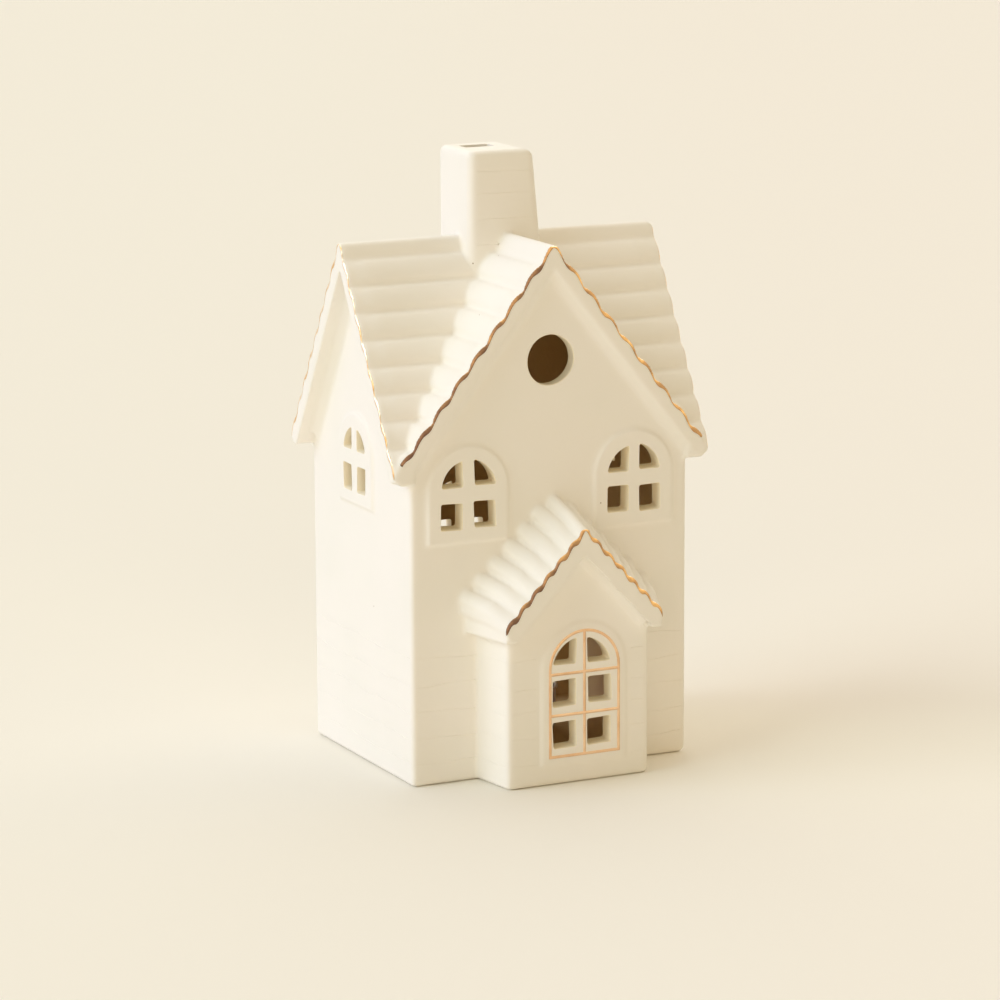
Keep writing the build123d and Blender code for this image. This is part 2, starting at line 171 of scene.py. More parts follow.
def heap(pieces):
    """The pieces' meshes in one object, still overlapping. They are used up."""
    shape = bmesh.new()
    for part in pieces:
        shape.from_mesh(part.data)
        discard(part)
    return piece("heap", shape)


def clay_of(node):
    """A closed copy of one of the frame's solids."""
    shape = bmesh.new()
    shape.from_mesh(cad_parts[node].data)
    bmesh.ops.remove_doubles(shape, verts=shape.verts, dist=MM / 1000)
    return piece(node + "_clay", shape)


def put_on(shape, plane, at):
    """Moves a shape outward by a distance, and then onto a plane."""
    bmesh.ops.translate(shape, vec=(0, 0, at), verts=shape.verts)
    bmesh.ops.transform(shape, matrix=plane, verts=shape.verts)
    return shape


def drawn_out(outline, low, high, plane, at=0.0):
    """A flat outline drawn out along its plane's outward direction, from low to high."""
    shape = bmesh.new()
    face = shape.faces.new([shape.verts.new((x, y, low)) for x, y in outline])
    drawn = bmesh.ops.extrude_face_region(shape, geom=[face])
    moved = [v for v in drawn["geom"] if isinstance(v, bmesh.types.BMVert)]
    bmesh.ops.translate(shape, vec=(0, 0, high - low), verts=moved)
    put_on(shape, plane, at)
    bmesh.ops.recalc_face_normals(shape, faces=shape.faces)
    return shape


def slab(outline, low, high, plane, at=0.0):
    return piece("slab", drawn_out(outline, low, high, plane, at))


def oblong(low, high):
    return (low[0], low[1]), (high[0], low[1]), (high[0], high[1]), (low[0], high[1])


def box(low, high):
    return slab(oblong(low, high), low[2], high[2], GROUND)


def gable(half, low, apex, slope, middle=0.0):
    """A house's outline: a rectangle under a gable, whose shoulders lie on the slopes."""
    shoulder = apex - slope * half
    return ((middle - half, low), (middle + half, low), (middle + half, shoulder),
            (middle, apex), (middle - half, shoulder))


def lofted(rings):
    """A closed solid through rings of points that match."""
    shape = bmesh.new()
    loops = []
    for ring in rings:
        corners = [shape.verts.new(point) for point in ring]
        loops.append([shape.edges.new(pair) for pair in zip(corners, corners[1:] + corners[:1])])
    for one, other in zip(loops, loops[1:]):
        bmesh.ops.bridge_loops(shape, edges=one + other)
    bmesh.ops.holes_fill(shape, edges=shape.edges, sides=0)
    bmesh.ops.recalc_face_normals(shape, faces=shape.faces)
    if shape.calc_volume(signed=True) < 0:
        bmesh.ops.reverse_faces(shape, faces=shape.faces)
    return shape


def round_corners(shape, edges, radius):
    bmesh.ops.bevel(shape, geom=edges, offset=radius, segments=5, profile=0.5,
                    affect="EDGES", material=-1)
    return shape


def upright_edges(shape, here):
    """The edges that stand upright where a test of their place says so."""
    found = []
    for edge in shape.edges:
        one, other = (v.co for v in edge.verts)
        if hypot(one.x - other.x, one.y - other.y) < MM / 100 and here(one):
            found.append(edge)
    return found


def foot_edges(shape):
    """The edges that lie on the ground."""
    return [edge for edge in shape.edges if max(v.co.z for v in edge.verts) < MM / 100
            and len({round(face.normal.z) for face in edge.link_faces}) > 1]


def house_form(inset, lift, low):
    """The house's plain body under both roofs, moved in by an inset and up by a lift."""
    side = SIDE_FACE - inset
    front = FRONT_FACE - inset
    long_way = drawn_out(gable(front, low, SIDE_APEX + lift, SIDE_SLOPE), -side, side, RIGHT)
    short_way = drawn_out(gable(side, low, FRONT_APEX + lift, FRONT_SLOPE), 0, front, FRONT)
    if not inset:
        for way in (long_way, short_way):
            round_corners(way, upright_edges(way, lambda v: abs(v.y) > front / 2), CORNER)
            round_corners(way, foot_edges(way), FOOT_ROUND)
    return carve(piece("form", long_way), piece("form", short_way), "UNION")


def steepness(half, rise):
    return hypot(half, rise) / half


def porch_under(drop, low, back):
    """All that lies under the porch roof's underside, which a drop lowers."""
    sections = [(back, *PORCH_SECTIONS[0][1:]), *PORCH_SECTIONS,
                (PORCH_RIM + REACH, *PORCH_SECTIONS[-1][1:])]
    rings = []
    for forward, half, tip, rise in sections:
        apex = tip + rise - (PORCH_ROOF_THICKNESS + drop) * steepness(half, rise)
        outline = gable(half + REACH, low, apex, rise / half, PORCH_MIDDLE)
        rings.append([(x, -forward, z) for x, z in outline])
    return piece("porch_under", lofted(rings))


def porch_plan(inset, back):
    """The porch's plan from behind the front wall to its front."""
    spread = (PORCH_BACK_HALF - PORCH_FRONT_HALF) / (PORCH_FRONT - FRONT_FACE)
    front = PORCH_FRONT - inset
    front_half = PORCH_FRONT_HALF - inset
    back_half = front_half + spread * (front - back)
    return ((PORCH_MIDDLE - back_half, -back), (PORCH_MIDDLE - front_half, -front),
            (PORCH_MIDDLE + front_half, -front), (PORCH_MIDDLE + back_half, -back))


def porch_form(inset, drop, low):
    """The porch's plain body under its roof."""
    back = FRONT_FACE - WALL - OVERLAP if inset else FRONT_FACE - WALL / 2
    top = PORCH_SECTIONS[0][2] + PORCH_SECTIONS[0][3]
    shape = drawn_out(porch_plan(inset, back), low, top, GROUND)
    corners = upright_edges(shape, lambda v: v.y < -(PORCH_FRONT + FRONT_FACE) / 2)
    round_corners(shape, corners, PORCH_CORNER / 2 if inset else PORCH_CORNER)
    if not inset:
        round_corners(shape, foot_edges(shape), FOOT_ROUND)
    under = porch_under(drop, low - REACH, FRONT_FACE - REACH)
    return carve(piece("form", shape), under, "INTERSECT")


def cove(half, apex, slope, overhang, depth_share, width, plane, at, middle=0.0):
    """A strip of clay that fills the corner between a rake's underside and the wall."""
    drop = width * hypot(1, slope)
    outline = ((middle - half, apex - slope * half), (middle, apex),
               (middle + half, apex - slope * half), (middle + half, apex - slope * half - drop),
               (middle, apex - drop), (middle - half, apex - slope * half - drop))
    shape = bmesh.new()
    inner = [shape.verts.new((x, y + (OVERLAP if i < 3 else 0), at - OVERLAP))
             for i, (x, y) in enumerate(outline)]
    outer = [shape.verts.new((x, y + OVERLAP, at + overhang * depth_share)) for x, y in outline[:3]]
    shape.faces.new(inner)
    for i in range(2):
        shape.faces.new((inner[i], inner[i + 1], outer[i + 1], outer[i]))
        shape.faces.new((outer[i], outer[i + 1], inner[4 - i], inner[5 - i]))
    shape.faces.new((inner[0], outer[0], inner[5]))
    shape.faces.new((inner[2], inner[3], outer[2]))
    bmesh.ops.transform(shape, matrix=plane, verts=shape.verts)
    bmesh.ops.recalc_face_normals(shape, faces=shape.faces)
    return piece("cove", shape)


def roll(stations, down, out, half_width):
    """A roll of clay on a slope. A station has its middle, and its shares of width and height."""
    rings = []
    for middle, share, height in stations:
        ring = []
        for step in range(ROLL_SIDES):
            turn = 2 * pi * step / ROLL_SIDES
            rise = height if sin(turn) > 0 else ROLL_ROOT
            ring.append(middle + down * half_width * share * cos(turn) + out * rise * sin(turn))
        rings.append(ring)
    return piece("roll", lofted(rings))


def rib_shares(ribs, cap):
    """How far down a slope each rib's crest is, as a share of the slope."""
    pitch = 1 / (ribs + cap)
    return [(cap + rib + 0.5) * pitch for rib in range(ribs)]


def main_rolls():
    """The main roof's ribs, on both slopes from end to end."""
    slope = hypot(ROOF_FRONT, ROOF_RISE)
    half_width = ROLL_WIDTH_SHARE * slope / (ROOF_RIBS + RIDGE_CAP_SHARE)
    for side in (-1, 1):
        down = Vector((0, side * ROOF_FRONT, -ROOF_RISE)) / slope
        out = Vector((0, side * ROOF_RISE, ROOF_FRONT)) / slope
        for share in rib_shares(ROOF_RIBS, RIDGE_CAP_SHARE):
            across = side * ROOF_FRONT * share
            height = RIDGE - ROOF_RISE * share
            finish = 0 if side > 0 else max(0, ROOF_SIDE * share - OVERLAP)
            for end in (-1, 1):
                yield roll([(Vector((end * x, across, height)), width, rise) for x, width, rise in (
                    (ROOF_SIDE, RIM_WIDTH, RIM_HEIGHT),
                    (max(finish + OVERLAP / 2, ROOF_SIDE - SWELLING), 1, ROLL_HEIGHT),
                    (finish, 1, ROLL_HEIGHT))], down, out, half_width)


def gable_rolls():
    """The front gable's ribs, from the rim to round noses that lie over the valleys."""
    slope = hypot(ROOF_SIDE, ROOF_RISE)
    half_width = ROLL_WIDTH_SHARE * slope / (ROOF_RIBS + RIDGE_CAP_SHARE)
    for side in (-1, 1):
        down = Vector((side * ROOF_SIDE, 0, -ROOF_RISE)) / slope
        out = Vector((side * ROOF_RISE, 0, ROOF_SIDE)) / slope
        for share in rib_shares(ROOF_RIBS, RIDGE_CAP_SHARE):
            across = side * ROOF_SIDE * share
            height = RIDGE - ROOF_RISE * share
            length = ROOF_FRONT * (1 - share)
            swelling = min(SWELLING, length / 2)
            nose = NOSE_HEIGHT if length > SWELLING else ROLL_HEIGHT
            stations = [(0, RIM_WIDTH, RIM_HEIGHT), (0.9 * swelling, 1, ROLL_HEIGHT),
                        (length - 0.6 * swelling, 1, 1.2 * ROLL_HEIGHT), (length, 0.95, nose),
                        (length + NOSE_LENGTH / 2, 0.8, 0.85 * nose),
                        (length + NOSE_LENGTH, 0.3, MM / 5)]
            yield roll([(Vector((across, back - ROOF_FRONT, height)), width, rise)
                        for back, width, rise in stations], down, out, half_width)


def porch_rolls():
    """The porch roof's ribs, from the rim to round noses at the front wall."""
    for side in (-1, 1):
        for share in rib_shares(PORCH_RIBS, PORCH_CAP_SHARE):
            stations = []
            for section, width, rise in ((2, RIM_WIDTH, RIM_HEIGHT), (1, 1, 1.2 * ROLL_HEIGHT),
                                         (0, 1, 1.2 * NOSE_HEIGHT)):
                forward, half, tip, gable_rise = PORCH_SECTIONS[section]
                middle = Vector((PORCH_MIDDLE + side * half * share, -forward,
                                 tip + gable_rise * (1 - share)))
                if not section:
                    near = middle.lerp(stations[-1][0], 0.35)
                    stations.append((near, 1, 0.8 * NOSE_HEIGHT))
                stations.append((middle, width, rise))
            stations.append((stations[-1][0] + Vector((0, OVERLAP, 0)), 0.8, ROLL_HEIGHT))
            forward, half, tip, gable_rise = PORCH_SECTIONS[1]
            slope = hypot(half, gable_rise)
            down = Vector((side * half, 0, -gable_rise)) / slope
            out = Vector((side * gable_rise, 0, half)) / slope
            yield roll(stations, down, out,
                       ROLL_WIDTH_SHARE * slope / (PORCH_RIBS + PORCH_CAP_SHARE))


def tip_lumps():
    """Small rounded ends of clay on the roofs' tips."""
    tips = [(side * (ROOF_SIDE - TIP_RADIUS), end * (ROOF_FRONT - TIP_RADIUS), TIP)
            for side in (-1, 1) for end in (-1, 1)]
    forward, half, tip, rise = PORCH_SECTIONS[-1]
    tips += [(PORCH_MIDDLE + side * (half - TIP_RADIUS), TIP_RADIUS - forward, tip)
             for side in (-1, 1)]
    for place in tips:
        shape = bmesh.new()
        bmesh.ops.create_icosphere(shape, subdivisions=2, radius=TIP_RADIUS)
        bmesh.ops.translate(shape, vec=place, verts=shape.verts)
        yield piece("tip", shape)


# The clay that fills the corners under the eaves and the rakes. A cove has its share of the
# overhang and its width.
FRONT_COVE = (0.9, 4.5 * MM)
SIDE_COVE = (0.5, 3.5 * MM)
PORCH_COVE = (0.8, 3 * MM)
PORCH_COVE_LIFT = 0.8 * MM
SOFFIT_DROP = 3.5 * MM
SOFFIT_WIDTH = 4.2 * MM
PORCH_SOFFIT = 49.6 * MM
PORCH_SOFFIT_BACK = (32.5 * MM, 57 * MM)
PORCH_SOFFIT_FRONT = (28 * MM, 52 * MM)


def soffits():
    """Level undersides at the front corners of the main roof, and under the porch roof's eaves."""
    for side in (-1, 1):
        outline = oblong((side * (SIDE_FACE - OVERLAP), TIP - SOFFIT_DROP),
                         (side * (SIDE_FACE + SOFFIT_WIDTH), TIP))
        yield slab(outline, FRONT_FACE - WALL, ROOF_FRONT - OVERLAP / 2, FRONT)
        rings = []
        for y, (reach, top) in ((OVERLAP - FRONT_FACE, PORCH_SOFFIT_BACK),
                                (OVERLAP / 2 - PORCH_RIM, PORCH_SOFFIT_FRONT)):
            inside = PORCH_MIDDLE + side * (PORCH_FRONT_HALF - OVERLAP)
            outside = PORCH_MIDDLE + side * reach
            rings.append([(inside, y, PORCH_SOFFIT), (outside, y, PORCH_SOFFIT), (outside, y, top),
                          (inside, y, top)])
        yield piece("soffit", lofted(rings))


# The flue, the vent and the doorway
CHIMNEY_RIGHT = chimney_low.x + 23.7 * MM
FLUE_LIP = 0.2 * MM
FLUE_STEP = 0.2 * MM
flue_low = chimney_low + Vector((CHIMNEY_WALL, CHIMNEY_WALL, 0))
flue_high = Vector((CHIMNEY_RIGHT - CHIMNEY_WALL, chimney_high.y - CHIMNEY_WALL,
                    chimney_high.z))
VENT_RADIUS = 8.2 * MM
VENT_HEIGHT = RIDGE - 37.6 * MM
DOORWAY_WIDTH = 46 * MM
DOORWAY_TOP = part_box("back_window")[0].z - 4.8 * MM

# How the openings are cut by hand, and how deep the parting seams lie
EDGE = 0.3 * MM
HAND = 0.25 * MM
LEAN = 0.05
PANE_CORNER = 0.8 * MM
PANE_DRAFT = 0.45 * MM
PANE_LIFT = 0.3 * MM
ARCH_STEPS = 12
SEAM = 5 * MM

# The thin courses pressed into the clay: their heights, and how deep, wide and wavy they are
WALL_COURSES = [height * MM for height in (7.6, 15.8, 24.6, 33.4, 42.2)]
PORCH_COURSES = [height * MM for height in (8.1, 16.7, 25.2, 32.7, 42.3)]
CHIMNEY_COURSES = [height * MM for height in (169.6, 178, 186.3, 193.5)]
COURSE_DEPTH = 0.16 * MM
COURSE_HALF = 0.5 * MM
COURSE_WAVE = 0.35 * MM
LONG_WAVE = 6 * MM
MIDDLE_WAVE = 4 * MM
SHORT_WAVE = 2.3 * MM
COURSE_STEP = 1.5 * MM

# The windows
PANE_WIDTH = 7.5 * MM
SIDE_PANE_WIDTH = 6.3 * MM
PANE_HEIGHT = 8.5 * MM
MULLION = 4.4 * MM
CROSS_BAR = 5.1 * MM
ARCH_DROP = 1.1 * MM
SURROUND = 4.6 * MM
RELIEF = 1 * MM
FIELD_FLARE = 0.4 * MM
PORCH_WINDOW_MIDDLE = PORCH_MIDDLE + 1.8 * MM
PORCH_WINDOW_WIDTH = 24.8 * MM
PORCH_WINDOW_SILL = 9.5 * MM
PORCH_WINDOW_ROW = 13.65 * MM
PORCH_WINDOW_ROWS = 3
PORCH_WINDOW_TOP = PORCH_WINDOW_SILL + PORCH_WINDOW_ROWS * PORCH_WINDOW_ROW
PORCH_PANE_WIDTH = 8.2 * MM
PORCH_PANE_HEIGHT = 8.6 * MM
PORCH_PANE_SHIFT = -0.8 * MM
PORCH_PANE_LIFT = 0.5 * MM
PORCH_SURROUND = 2.7 * MM
PORCH_RELIEF = 0.6 * MM

# A window's place: its plane, how far out its wall's face is, its middle, sill and pane width
WINDOWS = {}
for node, plane, face, pane_width in (
        ("front_left_window", FRONT, FRONT_FACE, PANE_WIDTH),
        ("front_right_window", FRONT, FRONT_FACE, PANE_WIDTH),
        ("left_window", LEFT, SIDE_FACE, SIDE_PANE_WIDTH),
        ("right_window", RIGHT, SIDE_FACE, SIDE_PANE_WIDTH),
        ("back_window", BACK, FRONT_FACE, PANE_WIDTH)):
    one, other = (plane.inverted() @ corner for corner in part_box(node))
    WINDOWS[node] = plane, face, (one.x + other.x) / 2, one.y + SURROUND, pane_width


def arched(middle, low, high, half, steps=24):
    """An outline with a straight foot and a round top."""
    centre = high - half
    points = [(middle - half, low), (middle + half, low)]
    for step in range(steps + 1):
        turn = pi * step / steps
        points.append((middle + half * cos(turn), centre + half * sin(turn)))
    return points


def field_outline(spot, margin):
    """A window field's round-topped outline, made larger by a margin."""
    plane, face, middle, sill, pane_width = spot
    half = MULLION / 2 + pane_width + SURROUND
    top = sill + PANE_HEIGHT + CROSS_BAR - ARCH_DROP + half
    return arched(middle, sill - SURROUND - margin, top + margin, half + margin)


def raised_field(outline_of, relief, plane, face):
    """A window's field with soft sloping sides."""
    rings = []
    for margin, height in ((FIELD_FLARE, -OVERLAP), (FIELD_FLARE, 0), (-FIELD_FLARE / 2, relief)):
        rings.append([(x, y, height) for x, y in outline_of(margin)])
    return piece("field", put_on(lofted(rings), plane, face))


def porch_window_outline(margin):
    """The porch window's round-topped outline along its gold frame, made larger by a margin."""
    half = PORCH_WINDOW_WIDTH / 2 + margin
    return arched(PORCH_WINDOW_MIDDLE, PORCH_WINDOW_SILL - margin, PORCH_WINDOW_TOP + margin, half)


def cast_body():
    """The whole house as one soft solid, before anything is cut."""
    mass = [house_form(0, OVERLAP, 0), porch_form(0, -OVERLAP, 0)]
    mass += [clay_of(node) for node in ("main_roof", "front_gable_roof", "chimney", "porch_roof")]
    mass.append(box(flue_low - Vector((WALL / 4, WALL / 4, 2 * WALL)),
                    flue_high + Vector((WALL / 4, WALL / 4, -FLUE_LIP))))
    mass += [*main_rolls(), *gable_rolls(), *porch_rolls(), *tip_lumps(), *soffits()]
    for spot in WINDOWS.values():
        mass.append(raised_field(lambda margin: field_outline(spot, margin), RELIEF, *spot[:2]))
    mass.append(raised_field(lambda margin: porch_window_outline(PORCH_SURROUND + margin),
                             PORCH_RELIEF, FRONT, PORCH_FRONT))
    mass.append(cove(SIDE_FACE - OVERLAP, FRONT_APEX, FRONT_SLOPE, ROOF_FRONT - FRONT_FACE,
                     *FRONT_COVE, FRONT, FRONT_FACE))
    for plane in (LEFT, RIGHT):
        mass.append(cove(FRONT_FACE - SEAM, SIDE_APEX, SIDE_SLOPE, ROOF_SIDE - SIDE_FACE,
                         *SIDE_COVE, plane, SIDE_FACE))
    rim = PORCH_SECTIONS[-1]
    apex = rim[2] + rim[3] - PORCH_ROOF_THICKNESS * steepness(rim[1], rim[3])
    mass.append(cove(PORCH_FRONT_HALF - SEAM / 2, apex + PORCH_COVE_LIFT, rim[3] / rim[1],
                     PORCH_RIM - PORCH_FRONT, *PORCH_COVE, FRONT, PORCH_FRONT, PORCH_MIDDLE))
    body = heap(mass)
    remesh = body.modifiers.new("one skin", "REMESH")
    remesh.mode = "VOXEL"
    remesh.voxel_size = GRAIN
    smooth = body.modifiers.new("soft edges", "SMOOTH")
    smooth.factor = 0.5
    smooth.iterations = SOFTENING
    return settle(body)


def rounding(x, z, up, radius, half_depth):
    """A knife that rounds a right-hand edge running from front to back: a top one, or a foot."""
    outline = [(x + OVERLAP, z - up * radius), (x + OVERLAP, z + up * OVERLAP),
               (x - radius, z + up * OVERLAP)]
    for step in range(ROUND_STEPS + 1):
        turn = pi / 2 * (1 - step / ROUND_STEPS)
        outline.append((x + radius * (cos(turn) - 1), z + up * radius * (sin(turn) - 1)))
    return slab(outline, -half_depth, half_depth, FRONT)


def rounding_knives():
    """The softer edges at the right: the ridge's end, the chimney's top and the wall's foot."""
    return heap([rounding(ROOF_SIDE, RIDGE - RIDGE_SAG, 1, RIDGE_END_ROUND, REACH),
                 rounding(CHIMNEY_RIGHT, chimney_high.z, 1, CHIMNEY_ROUND, REACH),
                 rounding(SIDE_FACE, 0, -1, RIGHT_FOOT_ROUND, FRONT_FACE + OVERLAP)])


def room_knife():
    """The hollow inside: the room, the porch's room and the flue."""
    front_lip = FLUE_FRONT_LIP - CHIMNEY_WALL
    shaft = box(flue_low + Vector((FLUE_STEP, front_lip, -5 * WALL)),
                flue_high + Vector((-FLUE_RIGHT_LIP, -FLUE_STEP, WALL)))
    room = carve(house_form(WALL, 0, FLOOR_TOP), porch_form(WALL, 0, FLOOR_TOP), "UNION")
    return carve(room, shaft, "UNION")


def middle_of(outline):
    return [sum(axis) / len(outline) for axis in zip(*outline)]


def knife_through(outline, plane, face, surface, draft=0.0, lift=0.0):
    """A knife that cuts an opening with a soft outer edge, from inside the wall to its surface."""
    centre_x, centre_y = middle_of(outline)
    size = max(hypot(x - centre_x, y - centre_y) for x, y in outline)
    rings = []
    for height, wider, rise in ((-WALL - OVERLAP, -draft, lift), (surface - EDGE, 0, 0),
                                (surface + EDGE, 1.6 * EDGE, 0)):
        grow = 1 + wider / size
        rings.append([(centre_x + (x - centre_x) * grow, centre_y + (y - centre_y) * grow + rise,
                       height) for x, y in outline])
    return piece("knife", put_on(lofted(rings), plane, face))


def hand_cut(outline, draw):
    """An outline cut by hand: a little off its place and out of square, with rounded corners."""
    middle_x, middle_y = middle_of(outline)
    shift_x, shift_y = draw.uniform(-HAND, HAND), draw.uniform(-HAND, HAND)
    lean_x, lean_y = draw.uniform(-LEAN, LEAN), draw.uniform(-LEAN, LEAN)
    shape = bmesh.new()
    for x, y in outline:
        shape.verts.new((x + shift_x + lean_x * (y - middle_y),
                         y + shift_y + lean_y * (x - middle_x), 0))
    shape.verts.ensure_lookup_table()
    face = shape.faces.new(shape.verts)
    corners = [loop.vert for loop in face.loops if loop.calc_angle() < 0.85 * pi]
    bmesh.ops.bevel(shape, geom=corners, offset=PANE_CORNER, segments=4, profile=0.5,
                    affect="VERTICES", material=-1)
    shape.faces.ensure_lookup_table()
    rounded = [(v.co.x, v.co.y) for v in shape.faces[0].verts]
    shape.free()
    return rounded


def pane_outlines(middle, sill, width):
    """The four panes of a house window: two square ones, and two above them under an arch."""
    reach = MULLION / 2 + width
    upper = sill + PANE_HEIGHT + CROSS_BAR
    centre = upper - ARCH_DROP
    first = asin(ARCH_DROP / reach)
    last = acos(MULLION / 2 / reach)
    for side in (-1, 1):
        inner = middle + side * MULLION / 2
        outer = middle + side * reach
        yield oblong((inner, sill), (outer, sill + PANE_HEIGHT))
        arch = [(inner, upper)]
        for step in range(ARCH_STEPS + 1):
            turn = first + (last - first) * step / ARCH_STEPS
            arch.append((middle + side * reach * cos(turn), centre + reach * sin(turn)))
        yield arch


def porch_pane_outlines():
    """Six panes in two columns and three rows, the top row under the arch."""
    half = PORCH_WINDOW_WIDTH / 2
    reach = half - (half - PORCH_PANE_WIDTH) / 2
    arch_centre = PORCH_WINDOW_TOP - half
    for row in range(PORCH_WINDOW_ROWS):
        row_middle = PORCH_WINDOW_SILL + PORCH_WINDOW_ROW * (row + 0.5)
        low = row_middle + PORCH_PANE_LIFT - PORCH_PANE_HEIGHT / 2
        high = low + PORCH_PANE_HEIGHT
        for side in (-1, 1):
            middle = PORCH_WINDOW_MIDDLE + PORCH_PANE_SHIFT
            inner = half / 2 - PORCH_PANE_WIDTH / 2
            outer = half / 2 + PORCH_PANE_WIDTH / 2
            if row < PORCH_WINDOW_ROWS - 1:
                yield oblong((middle + side * inner, low), (middle + side * outer, high))
                continue
            arch = [(middle + side * inner, low)]
            first = asin(max(0, (low - arch_centre) / reach))
            last = asin(min(1, (high - arch_centre) / reach))
            if reach * cos(last) < inner:
                last = acos(inner / reach)
            for step in range(ARCH_STEPS + 1):
                turn = first + (last - first) * step / ARCH_STEPS
                across = min(outer, reach * cos(turn))
                arch.append((middle + side * across, arch_centre + reach * sin(turn)))
            if reach * cos(last) > inner + MM / 10:
                arch.append((middle + side * inner, arch_centre + reach * sin(last)))
            yield arch


def opening_knives():
    """Knives for the panes, the vent and the doorway."""
    draw = Random(7)
    knives = []
    for plane, face, middle, sill, width in WINDOWS.values():
        for outline in pane_outlines(middle, sill, width):
            knives.append(knife_through(hand_cut(outline, draw), plane, face, RELIEF, PANE_DRAFT,
                                        PANE_LIFT))
    for outline in porch_pane_outlines():
        knives.append(knife_through(hand_cut(outline, draw), FRONT, PORCH_FRONT, PORCH_RELIEF,
                                    PANE_DRAFT, PANE_LIFT))
    vent = []
    for step in range(4 * ARCH_STEPS):
        turn = 2 * pi * step / (4 * ARCH_STEPS)
        radius = VENT_RADIUS * (1 + 0.012 * sin(2 * turn + 0.6) + 0.012 * sin(3 * turn + 2))
        vent.append((radius * cos(turn), VENT_HEIGHT + radius * sin(turn)))
    knives.append(knife_through(vent, FRONT, FRONT_FACE, 0))
    doorway = arched(0, FLOOR_TOP, DOORWAY_TOP, DOORWAY_WIDTH / 2)
    knives.append(knife_through(doorway, BACK, FRONT_FACE, 0))
    return heap(knives)


def course(start, finish, outward, draw):
    """A thin wavy line between two courses of bricks, pressed into a wall from start to finish."""
    phase = draw.uniform(0, 2 * pi)
    length = (finish - start).length
    steps = ceil(length / COURSE_STEP)
    rings = []
    for step in range(steps + 1):
        along = length * step / steps
        wave = COURSE_WAVE * (sin(phase + along / LONG_WAVE)
                              + sin(2 * phase + along / SHORT_WAVE) / 2)
        depth = COURSE_DEPTH * (0.75 + 0.25 * sin(3 * phase + along / MIDDLE_WAVE))
        place = start.lerp(finish, step / steps) + Vector((0, 0, wave))
        rings.append([place + outward * COURSE_HALF + Vector((0, 0, COURSE_HALF)),
                      place + outward * COURSE_HALF - Vector((0, 0, COURSE_HALF)),
                      place - outward * depth])
    return piece("course", lofted(rings))


def course_knives():
    """The courses on the lower walls, the porch and the chimney."""
    draw = Random(11)
    side, front = SIDE_FACE, FRONT_FACE
    porch_half = PORCH_BACK_HALF + COURSE_HALF
    window_half = PORCH_WINDOW_WIDTH / 2 + PORCH_SURROUND + 2 * OVERLAP
    runs = []
    for height in WALL_COURSES:
        runs += [((-side - OVERLAP, -front), (PORCH_MIDDLE - porch_half, -front), (0, -1), height),
                 ((PORCH_MIDDLE + porch_half, -front), (side + OVERLAP, -front), (0, -1), height),
                 ((-side, -front - OVERLAP), (-side, front + OVERLAP), (-1, 0), height),
                 ((side, -front - OVERLAP), (side, front + OVERLAP), (1, 0), height)]
        for end in (-1, 1):
            beside = end * (DOORWAY_WIDTH / 2 + OVERLAP)
            runs.append(((end * (side + OVERLAP), front), (beside, front), (0, 1), height))
    for height in PORCH_COURSES:
        for end in (-1, 1):
            corner = (PORCH_MIDDLE + end * PORCH_FRONT_HALF, -PORCH_FRONT)
            beyond = (corner[0] + end * OVERLAP, corner[1])
            beside = (PORCH_WINDOW_MIDDLE + end * window_half, -PORCH_FRONT)
            behind = (PORCH_MIDDLE + end * PORCH_BACK_HALF, -FRONT_FACE - COURSE_HALF)
            runs += [(beyond, beside, (0, -1), height), (corner, behind, (end, 0), height)]
    top = chimney_high
    for height in CHIMNEY_COURSES:
        lean = (top.z - height) * (top.x - CHIMNEY_RIGHT) / (top.z - chimney_low.z)
        edge = CHIMNEY_RIGHT + lean
        runs += [(chimney_low.xy, (edge + OVERLAP, chimney_low.y), (0, -1), height),
                 ((edge, chimney_low.y), (edge, top.y), (1, 0), height)]
    return heap([course(Vector((*start, height)), Vector((*finish, height)), Vector((*outward, 0)),
                        draw) for start, finish, outward, height in runs])


def parted(source, zone):
    """Parts what lies in a zone from a piece: the zone's share is a new piece."""
    made = carve(copy_of(source), zone, "INTERSECT", keep=True)
    carve(source, zone)
    return made


def under_roofs(drop):
    """All that lies under the two roofs' undersides, which a drop lowers."""
    half = ROOF_SIDE + REACH
    side_apex = SIDE_APEX - drop * hypot(1, SIDE_SLOPE)
    front_apex = FRONT_APEX - drop * hypot(1, FRONT_SLOPE)
    long_way = slab(gable(half, -REACH, side_apex, SIDE_SLOPE), -half, half, RIGHT)
    short_way = slab(gable(half, -REACH, front_apex, FRONT_SLOPE), 0, half, FRONT)
    return carve(long_way, short_way, "UNION")


